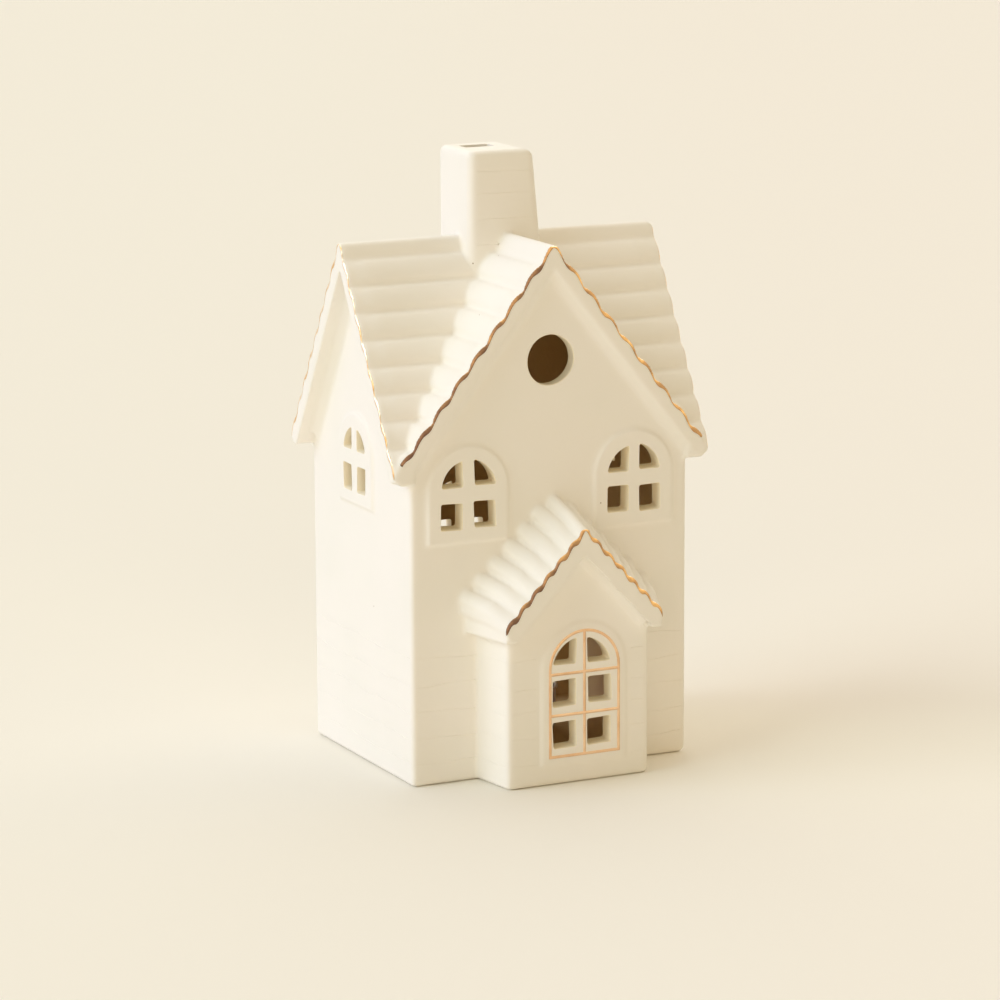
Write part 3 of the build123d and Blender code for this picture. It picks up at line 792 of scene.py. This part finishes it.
def part_house(body):
    """The body's pieces, parted where the clay is flat or along the roofs' valleys."""
    pieces = {}
    wall_section = PORCH_SECTIONS[0]
    slope = wall_section[3] / wall_section[1]
    apex = wall_section[2] + wall_section[3] + (NOSE_HEIGHT + SEAM / 10) * hypot(1, slope)
    zone = slab(gable(wall_section[1] + SEAM, 0, apex, slope, PORCH_MIDDLE), -SEAM / 2,
                PORCH_RIM + REACH, FRONT, FRONT_FACE)
    carve(zone, porch_under(SEAM, -REACH, FRONT_FACE - REACH))
    pieces["porch_roof"] = parted(body, zone)
    side = PORCH_SOFFIT_BACK[0] + SEAM / 2
    zone = box((PORCH_MIDDLE - side, -PORCH_RIM, -REACH),
               (PORCH_MIDDLE + side, -FRONT_FACE + SEAM / 4, apex))
    carve(zone, porch_under(SEAM / 2, -2 * REACH, FRONT_FACE - REACH), "INTERSECT")
    pieces["porch_walls"] = parted(body, zone)
    outline = porch_window_outline(PORCH_SURROUND + SEAM / 4)
    zone = slab(outline, -SEAM / 4, REACH, FRONT, PORCH_FRONT)
    pieces["porch_window"] = parted(pieces["porch_walls"], zone)
    walls = parted(body, under_roofs(SEAM))
    half = ROOF_SIDE + REACH
    side_crest = RIDGE + (ROLL_HEIGHT + SEAM / 10) * hypot(1, SIDE_SLOPE)
    front_crest = RIDGE + (NOSE_HEIGHT + SEAM / 10) * hypot(1, FRONT_SLOPE)
    zone = slab(gable(half, 0, side_crest, SIDE_SLOPE), -half, half, RIGHT)
    pieces["main_roof"] = parted(body, zone)
    zone = slab(gable(half, 0, front_crest, FRONT_SLOPE), 0, half, FRONT)
    pieces["front_gable_roof"] = parted(body, zone)
    pieces["chimney"] = body
    for name, spot in WINDOWS.items():
        zone = slab(field_outline(spot, SEAM / 2), -SEAM / 4, REACH, *spot[:2])
        pieces[name] = parted(walls, zone)
    inner_side = SIDE_FACE - WALL - FLUE_STEP
    inner_front = FRONT_FACE - WALL - FLUE_STEP
    far = SIDE_FACE + REACH
    for name, low, high in (
            ("floor_slab", (-inner_side, -inner_front, -REACH),
             (inner_side, inner_front, FLOOR_TOP + WALL)),
            ("front_wall", (-far, -far, -REACH), (far, -inner_front, RIDGE)),
            ("back_wall", (-far, inner_front, -REACH), (far, far, RIDGE)),
            ("left_wall", (-far, -far, -REACH), (0, far, RIDGE))):
        pieces[name] = parted(walls, box(low, high))
    pieces["right_wall"] = walls
    for node, casting in pieces.items():
        casting.name = node + "_casting"
    return pieces


# The gold: how thick it lies, how far the brush goes below the ribs' crests and over the rim
GOLD_THICKNESS = 0.12 * MM
GOLD_WAVER = 0.08 * MM
LONG_WAVER = 3.1 * MM
SHORT_WAVER = 1.7 * MM
GOLD_WAVE = 0.45 * MM
GOLD_DEPTH = 0.75 * MM
GOLD_WRAP = 0.45 * MM
LEFT_GOLD_WRAP = 0.2 * MM
RIGHT_GOLD_WRAP = 0.12 * MM
WINDOW_GOLD_WIDTH = 0.9 * MM


def rake_brush(wrap, plane, rim, half, apex, rise, ribs, cap, middle=0.0):
    """What the brush covers of a rim: all above a line drawn by hand along both slopes' ribs."""
    slope = rise / half
    steps = 2 * round(half / MM)
    outline = []
    for step in range(-steps, steps + 1):
        across = (half + OVERLAP) * step / steps
        waver = GOLD_WAVER * (sin(across / LONG_WAVER) + sin(across / SHORT_WAVER + 1))
        rib = GOLD_WAVE * cos(2 * pi * (abs(across) / half * (ribs + cap) - cap - 0.5))
        line = apex - slope * abs(across) + (rib + waver - GOLD_DEPTH) * hypot(1, slope)
        outline.append((middle + across, line))
    outline += [(middle + half + OVERLAP, apex + REACH), (middle - half - OVERLAP, apex + REACH)]
    return slab(outline, -wrap, REACH, plane, rim)


def window_brush():
    """The porch window's gold frame and bars, as a brush draws them."""
    half = WINDOW_GOLD_WIDTH / 2
    face = PORCH_FRONT + PORCH_RELIEF
    brush = slab(porch_window_outline(half), -OVERLAP, OVERLAP, FRONT, face)
    carve(brush, slab(porch_window_outline(-half), -REACH, REACH, FRONT, PORCH_FRONT))
    middle = PORCH_WINDOW_MIDDLE
    wide = PORCH_WINDOW_WIDTH / 2
    bars = [oblong((middle - half, PORCH_WINDOW_SILL), (middle + half, PORCH_WINDOW_TOP))]
    for row in range(1, PORCH_WINDOW_ROWS):
        height = PORCH_WINDOW_SILL + row * PORCH_WINDOW_ROW
        bars.append(oblong((middle - wide, height - half), (middle + wide, height + half)))
    for bar in bars:
        carve(brush, slab(bar, -OVERLAP, OVERLAP, FRONT, face), "UNION")
    return brush


def gold_on(source, node, brush):
    """A fired gold line: the skin of a piece where the brush went over it. The brush is used up."""
    made = copy_of(source)
    made.name = node + "_line"
    lift = made.modifiers.new("lift", "DISPLACE")
    lift.strength = GOLD_THICKNESS
    lift.mid_level = 0
    settle(made)
    carve(made, brush, "INTERSECT")
    return carve(made, source, keep=True)


class Finish:
    """A material under way: its shader, and the patterns that feed it."""

    def __init__(self, name, metallic=0.0, roughness=0.5, specular=0.5):
        self.material = bpy.data.materials.new(name)
        self.material.use_nodes = True
        self.tree = self.material.node_tree
        self.shader = self.tree.nodes["Principled BSDF"]
        self.shader.inputs["Metallic"].default_value = metallic
        self.shader.inputs["Roughness"].default_value = roughness
        self.shader.inputs["Specular IOR Level"].default_value = specular
        self.place = self.tree.nodes.new("ShaderNodeTexCoord").outputs["Object"]

    def node(self, kind, inputs, **settings):
        """A node with its settings, and its inputs fed from plain values or other nodes."""
        made = self.tree.nodes.new("ShaderNode" + kind)
        for name, value in settings.items():
            setattr(made, name, value)
        for socket, source in inputs.items():
            if isinstance(source, bpy.types.NodeSocket):
                self.tree.links.new(source, made.inputs[socket])
            else:
                made.inputs[socket].default_value = source
        return made

    def noise(self, scale, detail=3.0, stretch=(1, 1, 1)):
        """An uneven pattern, scale blotches to the metre."""
        mapping = self.node("Mapping", {"Vector": self.place, "Scale": stretch})
        pattern = self.node("TexNoise", {"Vector": mapping.outputs["Vector"], "Scale": scale,
                                         "Detail": detail})
        return pattern.outputs["Fac"]

    def along(self, axis, start, finish, low=0.0, high=1.0, source=None):
        """A value that goes from low to high between two places along an axis."""
        split = self.node("SeparateXYZ", {0: source or self.place})
        span = self.node("MapRange", {"Value": split.outputs[axis], "From Min": start,
                                      "From Max": finish, "To Min": low, "To Max": high},
                         interpolation_type="SMOOTHSTEP")
        return span.outputs["Result"]

    def sum(self, one, other, operation="ADD"):
        return self.node("Math", {0: one, 1: other}, operation=operation).outputs[0]

    def ramp(self, share, *stops):
        made = self.node("ValToRGB", {"Fac": share})
        elements = made.color_ramp.elements
        elements.remove(elements[1])
        for i, (position, color) in enumerate(stops):
            element = elements[0] if i == 0 else elements.new(position)
            element.position = position
            element.color = (*color, 1)
        return made.outputs["Color"]

    def grain(self, height, depth, strength):
        bump = self.node("Bump", {"Height": height, "Distance": depth, "Strength": strength})
        self.tree.links.new(bump.outputs["Normal"], self.shader.inputs["Normal"])

    def colored(self, color):
        self.tree.links.new(color, self.shader.inputs["Base Color"])
        return self.material

    def clouded(self, share, *stops):
        return self.colored(self.ramp(share, *stops))


def porcelain_finish():
    """Unglazed white porcelain: cloudy, faintly sandy, with a few dark specks."""
    finish = Finish("porcelain", roughness=0.55, specular=0.25)
    cloudy = finish.ramp(finish.noise(32, 2), (0.3, (0.915, 0.89, 0.825)), (0.5, (0.93, 0.90, 0.84)),
                         (0.7, (0.94, 0.905, 0.85)))
    specks = finish.node("TexVoronoi", {"Vector": finish.place, "Scale": 85})
    speck = finish.sum(specks.outputs["Distance"], 0.02, "LESS_THAN")
    finish.grain(finish.sum(finish.noise(2600, 4), finish.noise(420, 2)), 0.05 * MM, 0.35)
    mixed = finish.node("Mix", {0: speck, 6: cloudy, 7: (0.42, 0.34, 0.26, 1)}, data_type="RGBA")
    return finish.colored(mixed.outputs[2])


def bare_clay_finish():
    """The bare clay inside, with painted shade of the dim room: warm brown, and darker the higher it
    is.
    """
    finish = Finish("bare_clay_and_shade", roughness=0.85, specular=0.2)
    # painted shade: darker towards the top of the room, over an uneven tone
    shade_and_tone = finish.sum(finish.along("Z", FLOOR_TOP, SIDE_APEX, 0.0, 0.8), finish.noise(45, 4))
    finish.grain(finish.noise(900, 4), 0.15 * MM, 0.5)
    return finish.clouded(shade_and_tone, (0.35, (0.88, 0.68, 0.40)), (0.8, (0.84, 0.62, 0.33)),
                          (1.0, (0.80, 0.58, 0.29)))


def gold_finish(name, start, finish_at, pale=0.0):
    """Fired gold with painted reflection: brown and purple towards -X, orange towards +X and where
    it faces up, over an uneven tone.
    """
    finish = Finish(name, metallic=1, roughness=0.3)
    # painted reflection: darker towards start along X and lighter towards finish_at, over an uneven
    # tone
    tone_and_painted_reflection = finish.sum(finish.noise(180, 3), finish.along("X", start, finish_at, -0.1, 0.22))
    normal = finish.node("NewGeometry", {}).outputs["Normal"]
    # painted reflection: lighter where the gold faces up; pale lifts it all over as a painted
    # highlight
    top = finish.along("Z", 0.35, 0.95, pale, 0.35 + pale, normal)
    finish.grain(finish.noise(1500, 3), 0.03 * MM, 0.3)
    return finish.clouded(finish.sum(tone_and_painted_reflection, top), (0.3, (0.17, 0.095, 0.065)),
                          (0.5, (0.30, 0.175, 0.095)), (0.68, (0.55, 0.32, 0.14)),
                          (0.85, (0.82, 0.52, 0.22)), (1.0, (0.95, 0.80, 0.64)))


def plain_finish(name, grain, depth, strength, clouds, *stops, **shine):
    """A finish of one uneven colour over a fine grain."""
    finish = Finish(name, **shine)
    finish.grain(finish.noise(*grain), depth, strength)
    return finish.clouded(finish.noise(*clouds), *stops)


def paper_finish():
    """The pale paper that the house stands on, with painted light: lighter and cooler to the
    picture's left, where the key lamp is.
    """
    finish = Finish("paper", roughness=0.9, specular=0.0)
    finish.grain(finish.noise(1200, 4), 0.05 * MM, 0.3)
    facing = finish.node("Mapping", {"Vector": finish.place, "Rotation": (0, 0, -CAMERA_AZIMUTH)})
    # painted light: a gradient across the picture, lighter to the left
    across = finish.along("X", -0.25, 0.25, 0.0, 0.8, facing.outputs["Vector"])
    share = finish.sum(across, finish.sum(finish.noise(9, 3), 0.2, "MULTIPLY"))
    return finish.clouded(share, (0.0, PAPER_PAINTED_LIGHT_LEFT), (1.0, PAPER_PAINTED_SHADE_RIGHT))


# The candle, a tealight on the middle of the floor
CUP_METAL = 0.4 * MM
CUP_RIM = 0.6 * MM
CUP_DRAFT = 0.6 * MM
CUP_ROUND = 1.2 * MM
FLUTES = 52
FLUTE_DEPTH = 0.1 * MM
FLUTE_STEPS = 4
WICK_TURNS = 5
WICK_STRANDS = 3
WICK_RINGS = 48
WICK_LEAN = 0.6 * MM
MENISCUS = 0.5 * MM
cup_low, cup_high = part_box("tealight_cup")
wax_low, wax_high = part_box("tealight_wax")
wick_low, wick_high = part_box("wick")
sustainer_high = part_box("wick_sustainer")[1]
NECK = 1.5 * MM


def turned(name, profile, steps, closed=False):
    """A profile of radius and height turned full round the candle's middle."""
    shape = bmesh.new()
    corners = [shape.verts.new((radius, 0, height)) for radius, height in profile]
    edges = [shape.edges.new(pair) for pair in zip(corners, corners[1:])]
    if closed:
        edges.append(shape.edges.new((corners[-1], corners[0])))
    bmesh.ops.spin(shape, geom=corners + edges, cent=(0, 0, 0), axis=(0, 0, 1), angle=2 * pi,
                   steps=steps, use_merge=True)
    bmesh.ops.remove_doubles(shape, verts=shape.verts, dist=MM / 1000)
    bmesh.ops.recalc_face_normals(shape, faces=shape.faces)
    return piece(name, shape)


def fluted_cup():
    """The pressed metal cup: a rolled rim, and shallow flutes round its side."""
    rim = cup_high.x
    wall = rim - CUP_RIM
    foot = wall - CUP_DRAFT
    base, top = cup_low.z, cup_high.z
    side = []
    for share in (0.12, 0.25, 0.75, 0.88):
        side.append((foot + CUP_DRAFT * share, base + (top - base) * share))
    outer = [(0, base), (foot - CUP_ROUND, base), (foot - CUP_ROUND / 3, base + CUP_ROUND / 3),
             *side, (wall, top - CUP_RIM), (rim - CUP_RIM / 4, top - CUP_RIM),
             (rim, top - 0.7 * CUP_RIM), (rim, top - 0.3 * CUP_RIM), (rim - CUP_RIM / 4, top),
             (wall, top)]
    inner = [(wall - CUP_METAL, top - CUP_RIM / 2), *((r - CUP_METAL, z) for r, z in reversed(side)),
             (foot - CUP_ROUND / 3 - CUP_METAL, base + CUP_ROUND / 3 + CUP_METAL),
             (foot - CUP_ROUND, base + CUP_METAL), (0, base + CUP_METAL)]
    made = turned("tealight_cup_pressing", outer + inner, FLUTES * FLUTE_STEPS)
    for vert in made.data.vertices:
        if side[1][1] - MM / 10 < vert.co.z < side[2][1] + MM / 10:
            out = Vector((vert.co.x, vert.co.y, 0))
            turn = out.to_2d().angle_signed(Vector((1, 0)))
            vert.co += out.normalized() * FLUTE_DEPTH * cos(FLUTES * turn)
    return made


def wax_fill():
    """The wax: it stands up a little against the cup and round the wick."""
    edge = wax_high.x
    foot = edge - CUP_ROUND / 2
    base, top = wax_low.z, wax_high.z
    wick = wick_high.x
    plate = sustainer_high.x
    neck_top = sustainer_high.z
    profile = [(plate, base), (foot, base), (edge, base + CUP_ROUND), (edge, top - MENISCUS / 2),
               (edge - MENISCUS / 4, top), (edge - MENISCUS, top - 0.35 * MENISCUS),
               (edge - 3 * MENISCUS, top - 0.85 * MENISCUS), (edge - 8 * MENISCUS, top - MENISCUS),
               (wick + 5 * MENISCUS, top - MENISCUS), (wick + 2 * MENISCUS, top - 0.8 * MENISCUS),
               (wick + MENISCUS / 2, top - 0.4 * MENISCUS), (wick, top - 0.2 * MENISCUS),
               (wick, neck_top), (NECK, neck_top), (NECK, base + CUP_METAL),
               (plate, base + CUP_METAL)]
    return turned("tealight_wax_fill", profile, 96, closed=True)


def twisted_wick():
    """Strands of cotton twisted together, leaning a little at the top."""
    radius = wick_high.x
    rings = []
    for step in range(WICK_RINGS + 1):
        share = step / WICK_RINGS
        lean = WICK_LEAN * max(0.0, share - 0.7) / 0.3
        ring = []
        for side in range(ROLL_SIDES):
            turn = 2 * pi * side / ROLL_SIDES
            strand = abs(cos(WICK_STRANDS / 2 * (turn - 2 * pi * WICK_TURNS * share)))
            reach = radius * (0.78 + 0.2 * strand)
            ring.append((reach * cos(turn) - lean, reach * sin(turn) + lean / 2,
                         wick_low.z + (wick_high.z - wick_low.z) * share))
        rings.append(ring)
    return piece("twisted_wick", lofted(rings))


CAMERA_AZIMUTH, CAMERA_ELEVATION, CAMERA_ROLL = radians(-26.16), radians(11.73), radians(-0.25)
# The paper's colours at the picture's left and right: painted light, lighter and cooler to the left
PAPER_PAINTED_LIGHT_LEFT = (0.905, 0.885, 0.81)
PAPER_PAINTED_SHADE_RIGHT = (0.905, 0.865, 0.79)

porcelain = porcelain_finish()
# The room's clay, with painted shade of the dim room
bare_clay_and_shade = bare_clay_finish()
# The sides of the openings: painted light, lighter and warmer, standing in for light that comes
# through the thin porcelain and warms it
painted_jamb_glow = plain_finish("painted_jamb_glow", (900, 4), 0.08 * MM, 0.4, (120, 3), (0.35, (0.96, 0.87, 0.68)),
                        (0.65, (0.97, 0.90, 0.73)), roughness=0.7, specular=0.2)
# The rims' gold, with painted reflection; the side gables' gold is made pale all over by a painted
# highlight
rim_gold = gold_finish("rim_gold", -15 * MM, 10 * MM)
side_gold = gold_finish("side_gold", -1, 1, 0.42)
# The thin peach-coloured gold of the porch window
window_gold = plain_finish("window_gold", (1500, 3), 0.03 * MM, 0.3, (160, 4),
                           (0.3, (0.74, 0.46, 0.26)), (0.5, (0.84, 0.56, 0.34)),
                           (0.75, (0.90, 0.66, 0.44)), metallic=0.6, roughness=0.4)
# Drawn aluminium with fine upright marks and dull spots
foil = plain_finish("foil", (900, 3, (1, 1, 0.08)), 0.03 * MM, 0.5, (240, 4),
                    (0.3, (0.70, 0.70, 0.71)), (0.7, (0.86, 0.86, 0.87)), metallic=1, roughness=0.32)
# White candle wax, a little see-through, with a faint bloom
wax = plain_finish("wax", (500, 4), 0.08 * MM, 0.4, (120, 3), (0.35, (0.88, 0.85, 0.77)),
                   (0.65, (0.93, 0.91, 0.86)), roughness=0.42)
wax_shader = wax.node_tree.nodes["Principled BSDF"]
wax_shader.inputs["Subsurface Weight"].default_value = 0.25
wax_shader.inputs["Subsurface Scale"].default_value = 2 * MM
# A waxed cotton wick
cotton = plain_finish("cotton", (3500, 3, (1, 1, 0.3)), 0.08 * MM, 0.7, (1800, 2),
                      (0.35, (0.72, 0.68, 0.58)), (0.65, (0.86, 0.83, 0.75)), roughness=0.85)

body = cast_body()
room = room_knife()
openings = opening_knives()
bpy.context.view_layer.update()
room_skin = BVHTree.FromObject(room, bpy.context.evaluated_depsgraph_get())
openings_skin = BVHTree.FromObject(openings, bpy.context.evaluated_depsgraph_get())
for tool in (rounding_knives(), room, openings, course_knives()):
    carve(body, tool)
castings = part_house(body)


def finished(casting):
    """Gives a casting its white outside, bare clay with painted shade in the room, and painted warm
    light on the openings' sides.
    """
    casting.data.materials.clear()
    for finish in (porcelain, bare_clay_and_shade, painted_jamb_glow):
        casting.data.materials.append(finish)
    for face in casting.data.polygons:
        if room_skin.find_nearest(face.center, MM / 50)[0] and face.center.z < RIDGE:
            face.material_index = 1
        elif openings_skin.find_nearest(face.center, MM / 50)[0]:
            face.material_index = 2
    casting.data.shade_smooth()
    casting.data.set_sharp_from_angle(angle=radians(35))


main_rim = (RIDGE, ROOF_RISE, ROOF_RIBS, RIDGE_CAP_SHARE)
porch_half, porch_tip, porch_rise = PORCH_SECTIONS[-1][1:]
porch_rim = (porch_tip + porch_rise, porch_rise, PORCH_RIBS, PORCH_CAP_SHARE, PORCH_MIDDLE)
for node, owner, finish, brush in (
        ("front_gable_gold", "front_gable_roof", rim_gold,
         rake_brush(GOLD_WRAP, FRONT, ROOF_FRONT, ROOF_SIDE, *main_rim)),
        ("left_gable_gold", "main_roof", side_gold,
         rake_brush(LEFT_GOLD_WRAP, LEFT, ROOF_SIDE, ROOF_FRONT, *main_rim)),
        ("right_gable_gold", "main_roof", side_gold,
         rake_brush(RIGHT_GOLD_WRAP, RIGHT, ROOF_SIDE, ROOF_FRONT, *main_rim)),
        ("porch_gable_gold", "porch_roof", rim_gold,
         rake_brush(GOLD_WRAP, FRONT, PORCH_RIM, porch_half, *porch_rim)),
        ("porch_window_gold", "porch_window", window_gold, window_brush())):
    line = gold_on(castings[owner], node, brush)
    line.data.materials.clear()
    line.data.materials.append(finish)
    line.data.shade_smooth()
    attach(line, "house")
    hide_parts(node)

for node, casting in castings.items():
    finished(casting)
    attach(casting, "house")
    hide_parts(node)

for node, rides_on, slot, make, finish in (
        ("tealight_cup", "tealight", "cup", fluted_cup, foil),
        ("tealight_wax", "wax_puck", "wax", wax_fill, wax),
        ("wick", "wax_puck", "wick", twisted_wick, cotton)):
    made = make()
    made.data.materials.append(finish)
    made.data.shade_smooth()
    made.data.set_sharp_from_angle(angle=radians(50))
    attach(made, rides_on)
    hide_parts(node)
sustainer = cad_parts["wick_sustainer"]
sustainer.data.materials.clear()
sustainer.data.materials.append(foil)

floor = bmesh.new()
bmesh.ops.create_grid(floor, x_segments=1, y_segments=1, size=20)
floor = piece("floor", floor)
floor.data.materials.append(paper_finish())

# Five soft lamps. Each has its bearing in degrees from the picture's left towards the camera, its
# elevation, its width across the sky and its colour, which also holds its strength.
LAMPS = {
    "key": (25, 30, 50, (1.326, 1.508, 1.535)),
    "low_key": (0, 20, 50, (0.304, 0.228, 0.409)),
    "rear_top": (-90, 60, 90, (2.122, 1.992, 1.773)),
    "right_fill": (180, 30, 80, (0.589, 0.445, 0.212)),
    "front_fill": (90, 10, 60, (1.075, 0.851, 0.543)),
}
STUDIO_COLOR = (0.89, 0.82, 0.68, 1)


def lamp(name, bearing, elevation, width, color):
    light = bpy.data.lights.new(name, "SUN")
    light.energy = 1
    light.color = color
    light.angle = radians(width)
    hung = bpy.data.objects.new(name, light)
    bpy.context.scene.collection.objects.link(hung)
    turn = CAMERA_AZIMUTH + radians(bearing)
    rise = radians(elevation)
    toward = Vector((-cos(turn) * cos(rise), -sin(turn) * cos(rise), sin(rise)))
    hung.rotation_mode = "QUATERNION"
    hung.rotation_quaternion = toward.to_track_quat("Z", "Y")


def studio_world():
    """A pale surround that is only seen and reflected. The lamps alone light the house."""
    world = bpy.data.worlds.new("studio")
    bpy.context.scene.world = world
    world.use_nodes = True
    nodes, links = world.node_tree.nodes, world.node_tree.links
    background = nodes["Background"]
    background.inputs["Color"].default_value = STUDIO_COLOR
    rays = nodes.new("ShaderNodeLightPath")
    seen = rays.outputs["Is Camera Ray"]
    for kind in ("Is Glossy Ray", "Is Transmission Ray"):
        either = nodes.new("ShaderNodeMath")
        either.operation = "MAXIMUM"
        links.new(seen, either.inputs[0])
        links.new(rays.outputs[kind], either.inputs[1])
        seen = either.outputs[0]
    links.new(seen, background.inputs["Strength"])


studio_world()
for name, values in LAMPS.items():
    lamp(name, *values)

CAMERA_PLACE = Vector((-606.995, -1237.070, 369.079)) * MM
CAMERA_LENS = 152.88
back = Vector((sin(CAMERA_AZIMUTH) * cos(CAMERA_ELEVATION),
               -cos(CAMERA_AZIMUTH) * cos(CAMERA_ELEVATION), sin(CAMERA_ELEVATION)))
right = Vector((cos(CAMERA_AZIMUTH), sin(CAMERA_AZIMUTH), 0))
up = back.cross(right)
rolled_right = right * cos(CAMERA_ROLL) + up * sin(CAMERA_ROLL)
rolled_up = up * cos(CAMERA_ROLL) - right * sin(CAMERA_ROLL)
camera = bpy.data.cameras.new("camera")
camera.sensor_width = 36
camera.lens = CAMERA_LENS
camera.clip_start = 0.05
camera.clip_end = 50
camera_object = bpy.data.objects.new("camera", camera)
bpy.context.scene.collection.objects.link(camera_object)
camera_object.matrix_world = Matrix((rolled_right, rolled_up, back)).transposed().to_4x4()
camera_object.location = CAMERA_PLACE
bpy.context.scene.camera = camera_object
bpy.context.scene.view_settings.view_transform = "Standard"
